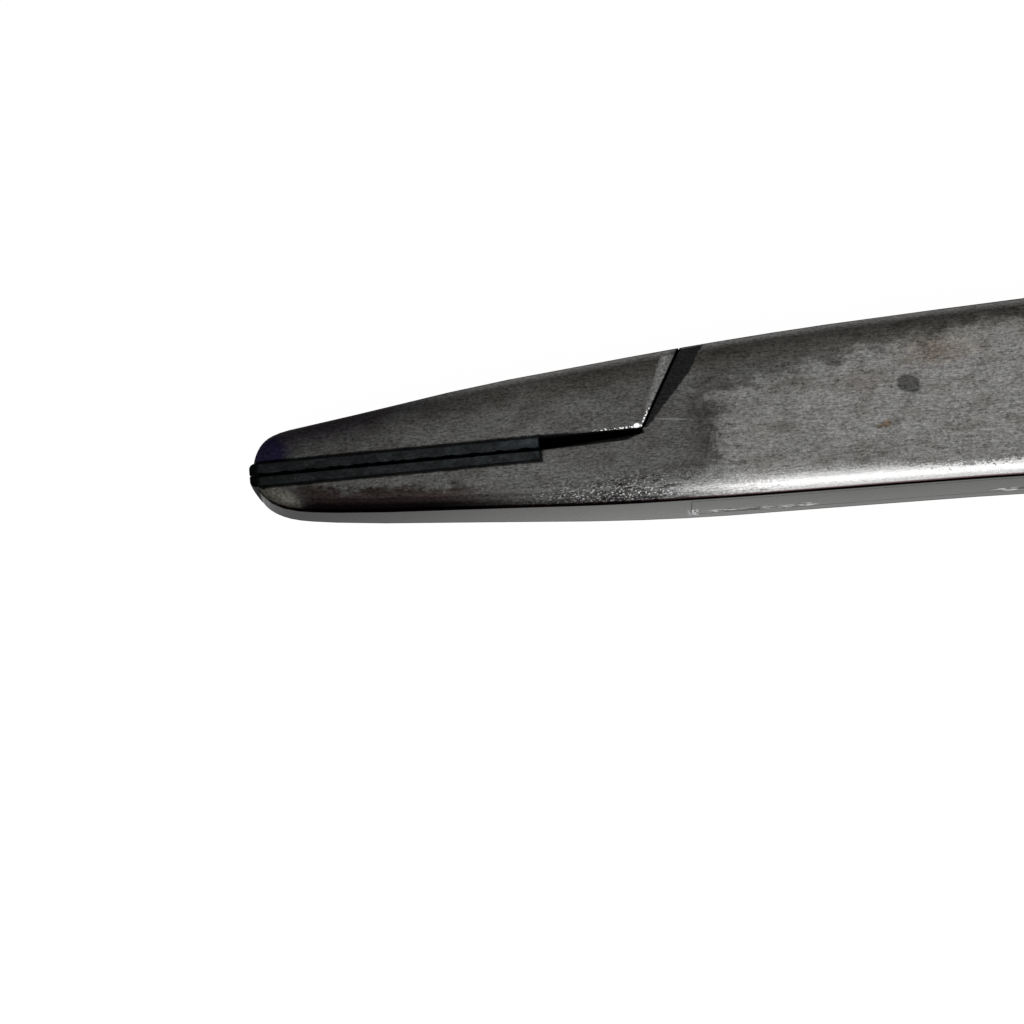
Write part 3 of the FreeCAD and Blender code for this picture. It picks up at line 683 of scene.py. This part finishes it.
def dirt(t, colour):
    """Painted shade: dark grey deep inside the part, black in the relief and along the joint line."""
    crevice = t.product(t.marked, t.ramp(t.depth, *CREVICE_DEPTH), t.ramp(t.facing, *CREVICE_FACING))
    colour = t.tone(colour, crevice, CREVICE_TONE)
    crevice = t.product(crevice, t.ramp(t.x, *CREVICE_ALONG), t.ramp(t.from_seam, *CREVICE_ACROSS))
    relief = t.product(t.ramp(t.x, *RELIEF_REAR), t.ramp(t.x, *RELIEF_FRONT), t.steep,
                       t.ramp(t.from_seam, *RELIEF_ACROSS), t.marked)
    joint = t.product(t.above, t.near(t.past_joint, JOINT_WIDTH), t.steep)
    lip = t.product(t.above, t.flat_or_bend, t.near(t.minus(t.past_joint, LIP_OFFSET), LIP_WIDTH))
    t.dirt = t.most(crevice, relief, joint, lip)
    return t.tone(colour, t.dirt, RECESS_SHADE_TONE)


# Painted glints on the worn edge of the upper jaw
EDGE_GLINT = 0.05
CORNER_OFFSET = 0.08
GLINT_WIDTH = 0.065
GLINT_UP = (1.0, 0.6)
GLINT_ALONG = (-15.6, -14.6)
GLINT_END = (0.0, -0.04)
GLINT_FACING = (0.5, 0.8)
GLINT_MORE = (-15.0, -12.5, 0.0, 0.08)
GLINT_FLECKS = (0.57, 0.63)


def glints(t, colour):
    """Painted glints along the relief and round the corner, with a larger one at the corner."""
    before_joint = t.product(t.ramp(t.past_joint, *GLINT_END), t.ramp(t.facing, *GLINT_FACING))
    along_relief = t.near(t.minus(t.seam, INSERT_BACK + EDGE_GLINT), GLINT_WIDTH)
    up_joint = t.product(t.near(t.sum(t.past_joint, CORNER_OFFSET), GLINT_WIDTH), t.ramp(t.y, *GLINT_UP))
    on_edge = t.product(t.most(along_relief, up_joint), t.ramp(t.x, *GLINT_ALONG), t.above, before_joint)
    glint = t.product(on_edge, t.ramp(t.sum(t.fleck, t.ramp(t.x, *GLINT_MORE)), *GLINT_FLECKS))
    corner = t.product(t.spot(CORNER_GLINT, turn=20, wobble=0.3), before_joint)
    return t.mix(t.most(glint, corner), colour, grey(1.0))


# Gloss of the steel
EDGE_TO_FLAT_ROUGHNESS = (0.0, 1.0, 0.3, 0.42)
PLAIN_SMOOTHER = 0.07
GRAIN_ROUGHNESS = (0.3, 0.7, -0.07, 0.07)
RECESS_ROUGHNESS = 0.9
SIDE_BUMP = (0.0, 1.0, 0.55, 0.08)
BRUSH_BUMP = 0.5
SPECULAR_TINT = grey(0.5)
BLACK = grey(0.0)


def steel():
    """Worn satin steel, with the stains and marks where the photograph shows them."""
    t = Tree("steel")
    find_faces(t)
    find_places(t)
    make_noises(t)
    colour = broad_faces(t)
    for layer in (sides_and_edges, grain_over, painted_sparkle, jaw_stains, box_marks, joint_facets, creases, nicks_and_glints,
                  gap_shade, dirt, glints):
        colour = layer(t, colour)
    rough = t.minus(t.even(t.flat, EDGE_TO_FLAT_ROUGHNESS), t.product(t.behind, PLAIN_SMOOTHER))
    rough = t.most(t.sum(rough, t.even(t.grain, GRAIN_ROUGHNESS)), t.product(t.dirt, RECESS_ROUGHNESS))
    tint = t.mix(t.most(t.dirt, t.crease), SPECULAR_TINT, BLACK)
    height = t.sum(t.grain, t.product(t.brush, BRUSH_BUMP))
    return t.metal(colour, tint, rough, height, t.even(t.side, SIDE_BUMP))


# Carbide: levels along x, noises, the bluer rear end and the black joint lines
CARBIDE_LEVEL = 0.0205
CARBIDE_ALONG = (-32.0, -18.5, 0.5, 1.0)
CARBIDE_GRAIN = (0.3, 0.7, 0.55, 1.45)
CARBIDE_BLOTS = (0.35, 0.6, 1.15, 0.75)
CARBIDE_FLECKS = (0.7, 0.76)
CARBIDE_FLECK_SHARE = 0.2
CARBIDE_FLECK_LEVEL = 0.2
BLUER_ALONG = (-20.2, -19.6)
BLUER_ACROSS = (0.1, 0.2)
BLUER_TONE = (1.35, 1.4, 1.5)
BACK_LINE = (INSERT_BACK - 0.1, INSERT_BACK - 0.03)
MEETING_LINE = (0.12, 0.06)
FRONT_LINE = (-32.4, -32.7)
REAR_LINE = (-17.95, -17.87)
LINE_TONE = 0.2
CARBIDE_ROUGHNESS = 0.42
CARBIDE_BUMP = 0.4


def carbide():
    """Dark blue-green sintered carbide, black along its joint lines."""
    t = Tree("carbide")
    grain = t.noise(CARBIDE_GRAIN_CELLS, detail=4, rough=0.7)
    fleck = t.noise(CARBIDE_FLECK_CELLS, detail=2, shift=13.0)
    blot = t.noise(CARBIDE_BLOT_CELLS, detail=3, shift=21.0)
    gain = t.product(t.even(t.x, CARBIDE_ALONG), t.even(grain, CARBIDE_GRAIN), t.ramp(blot, *CARBIDE_BLOTS))
    colour = t.scaled(t.tinted(CARBIDE_LEVEL, CARBIDE_TINT), gain)
    flecks = t.product(t.ramp(fleck, *CARBIDE_FLECKS), CARBIDE_FLECK_SHARE)
    colour = t.mix(flecks, colour, grey(CARBIDE_FLECK_LEVEL))
    seam = t.above_seam()
    colour = t.tone(colour, t.product(t.ramp(t.x, *BLUER_ALONG), t.ramp(seam, *BLUER_ACROSS)), BLUER_TONE)
    from_seam = t.size(seam)
    rim = t.most(t.ramp(from_seam, *BACK_LINE), t.ramp(from_seam, *MEETING_LINE),
                 t.ramp(t.x, *FRONT_LINE), t.ramp(t.x, *REAR_LINE))
    colour = t.tone(colour, rim, LINE_TONE)
    return t.metal(colour, SPECULAR_TINT, CARBIDE_ROUGHNESS, grain, CARBIDE_BUMP)


FLOOR_SIZE = 6
FLOOR_LEVEL = 0.9
FLOOR_WHITE = 1.03
FLOOR_WHITE_SHARE = 0.94
SEEN_RAYS = ("Is Camera Ray", "Is Glossy Ray", "Is Transmission Ray")


def floor_material():
    """Pale floor that shows as white round the object's own shadow."""
    t = Tree("floor")
    diffuse = t.add("ShaderNodeBsdfDiffuse")
    diffuse.inputs["Color"].default_value = grey(FLOOR_LEVEL)
    white = t.add("ShaderNodeEmission")
    white.inputs["Strength"].default_value = FLOOR_WHITE
    rays = t.add("ShaderNodeLightPath").outputs
    seen = t.most(*[rays[name] for name in SEEN_RAYS])
    mixed = t.add("ShaderNodeMixShader")
    t.put(t.product(seen, FLOOR_WHITE_SHARE), mixed.inputs[0])
    t.put(diffuse.outputs[0], mixed.inputs[1])
    t.put(white.outputs[0], mixed.inputs[2])
    return t.done(mixed.outputs[0])


def dress(names, material):
    for name in names:
        nodes[name].data.materials.clear()
        nodes[name].data.materials.append(material)


steel_material = steel()
dress(("female_half", "male_half", "pivot_pin"), steel_material)
dress(("female_insert", "male_insert"), carbide())

# A thin steel-coloured filler in the narrow gap at the slot's front end, flush with the near side, hiding
# the gap's shade; sizes in mm
FILLER_RADII = (WING_RADIUS + 0.02, WING_RADIUS + 0.075)
FILLER_LEVELS = (WALL + 0.01, TOP - WALL - 0.01)
FILLER_DEPTH = 0.5
FILLER_INSET = 0.01
SLOT_END_X = -10.5
BEFORE_SLOT_END, BEHIND_SLOT_END = 0.3, 0.4
OUTSIDE_Y = -20


def side_y(x_mm):
    """Place of the near side at an x, in mm."""
    ground = []
    for name in ("female_half", "male_half"):
        hit, spot, _, _ = nodes[name].ray_cast(Vector((x_mm, OUTSIDE_Y, MID)) * MM, Vector((0, 1, 0)))
        if hit:
            ground.append(spot.y / MM)
    return min(ground)


def arc_x(radius, y_mm):
    """Place in x, in mm, of an arc about the pivot, on the jaws' side."""
    return -math.sqrt(radius ** 2 - y_mm ** 2)


def slot_end_shade_filler():
    """A thin curved steel-coloured bar that rides the box and hides the shade in the gap."""
    gap_x = arc_x(FILLER_RADII[1], side_y(SLOT_END_X))
    near_y = (side_y(gap_x - BEFORE_SLOT_END) + side_y(gap_x + BEHIND_SLOT_END)) / 2 + FILLER_INSET
    points = []
    for y_mm in (near_y, near_y + FILLER_DEPTH):
        for level in FILLER_LEVELS:
            for radius in FILLER_RADII:
                points.append(Vector((arc_x(radius, y_mm), y_mm, level)) * MM)
    faces = [(0, 1, 3, 2), (4, 6, 7, 5), (0, 4, 5, 1), (2, 3, 7, 6), (0, 2, 6, 4), (1, 5, 7, 3)]
    mesh = bpy.data.meshes.new("slot_end_shade_filler")
    mesh.from_pydata(points, [], faces)
    filler = bpy.data.objects.new("slot_end_shade_filler", mesh)
    bpy.context.scene.collection.objects.link(filler)
    filler.data.materials.append(steel_material)
    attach(filler, "female_body")


slot_end_shade_filler()

# Floor
bpy.ops.mesh.primitive_plane_add(size=FLOOR_SIZE, location=(0, 0, 0))
floor = bpy.context.object
floor.name = "floor"
floor.data.materials.append(floor_material())

# World: white where it is seen, itself or in a reflection, and dimmer as light
WORLD_LIGHT = 0.6
world = bpy.data.worlds.new("soft_studio")
bpy.context.scene.world = world
world.use_nodes = True
sky = world.node_tree.nodes["Background"]
sky.inputs["Color"].default_value = grey(1.0)
world_rays = world.node_tree.nodes.new("ShaderNodeLightPath").outputs
strength = None
for ray in SEEN_RAYS:
    larger = world.node_tree.nodes.new("ShaderNodeMath")
    larger.operation = "MAXIMUM"
    larger.inputs[1].default_value = WORLD_LIGHT
    world.node_tree.links.new(world_rays[ray], larger.inputs[0])
    if strength:
        world.node_tree.links.new(strength, larger.inputs[1])
    strength = larger.outputs[0]
world.node_tree.links.new(strength, sky.inputs["Strength"])

# Lamp
LAMP_AZIMUTH, LAMP_ELEVATION = math.radians(8), math.radians(45)
LAMP_DISTANCE = 0.6
LAMP_SIZE = (0.8, 0.5)
LAMP_POWER = 2.6
LAMP_AIM = Vector((-0.02, 0, 0))


def lamp(name):
    """Rectangular soft light that faces the jaws."""
    data = bpy.data.lights.new(name, "AREA")
    data.shape = "RECTANGLE"
    data.size, data.size_y = LAMP_SIZE
    data.energy = LAMP_POWER
    light = bpy.data.objects.new(name, data)
    along = math.cos(LAMP_ELEVATION)
    height = math.sin(LAMP_ELEVATION)
    way = Vector((math.sin(LAMP_AZIMUTH) * along, -math.cos(LAMP_AZIMUTH) * along, height))
    light.location = LAMP_AIM + way * LAMP_DISTANCE
    light.rotation_mode = "QUATERNION"
    light.rotation_quaternion = way.to_track_quat("Z", "Y")
    bpy.context.scene.collection.objects.link(light)


lamp("low_front")

# Camera
camera_data = bpy.data.cameras.new("camera")
camera_data.lens = LENS
camera_data.sensor_width = SENSOR
camera = bpy.data.objects.new("camera", camera_data)
bpy.context.scene.collection.objects.link(camera)
bpy.context.scene.camera = camera
up_plain = Vector((0, math.sin(ELEVATION), math.cos(ELEVATION)))
back = Vector((0, -math.cos(ELEVATION), math.sin(ELEVATION)))
right = Vector((math.cos(ROLL), 0, 0)) - up_plain * math.sin(ROLL)
up = Vector((math.sin(ROLL), 0, 0)) + up_plain * math.cos(ROLL)
target_x, target_y = px_to_mm(IMAGE / 2, IMAGE / 2)
distance = IMAGE / PX_PER_MM * LENS / SENSOR
centre = Vector((target_x, target_y, TOP)) + back * distance
camera.matrix_world = Matrix.Translation(centre * MM) @ Matrix((right, up, back)).transposed().to_4x4()

bpy.context.scene.view_settings.view_transform = "Standard"
